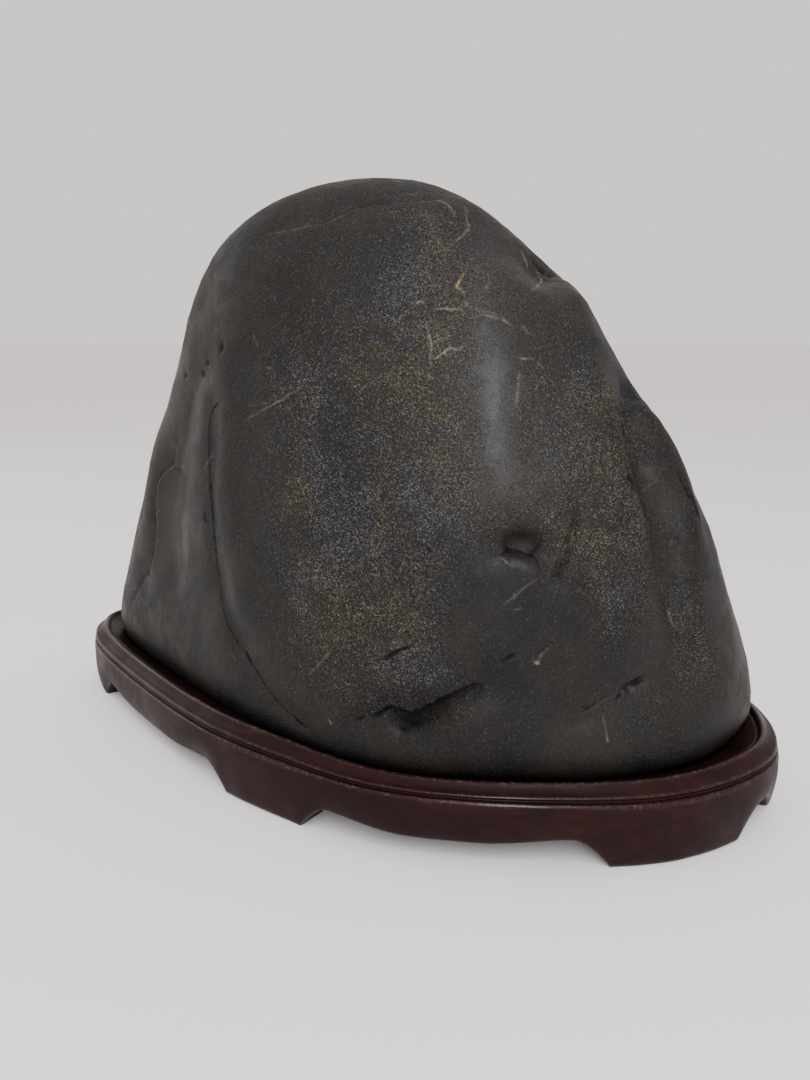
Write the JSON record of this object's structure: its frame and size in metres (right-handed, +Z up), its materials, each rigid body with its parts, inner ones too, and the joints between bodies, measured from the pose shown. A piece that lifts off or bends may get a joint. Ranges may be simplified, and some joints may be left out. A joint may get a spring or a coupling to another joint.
{
  "type": "scholars rock on wooden stand",
  "caption": "Dark, upright scholars rock with cracks and pits, resting loose in the fitted seat of a low carved rosewood stand with a moulded rim and short arched feet.",
  "frame": {"origin": "on the floor, under the middle of the box round the stand", "axes": "+X along the stand towards the rock's gently sloping right end, +Z up, +Y away from the front face"},
  "size_m": [0.3434, 0.1858, 0.2404],
  "materials": {
    "rock": "satin",
    "stand": "satin"
  },
  "bodies": {
    "root": {"rock": "rock", "stand": "stand"}
  },
  "joints": []
}
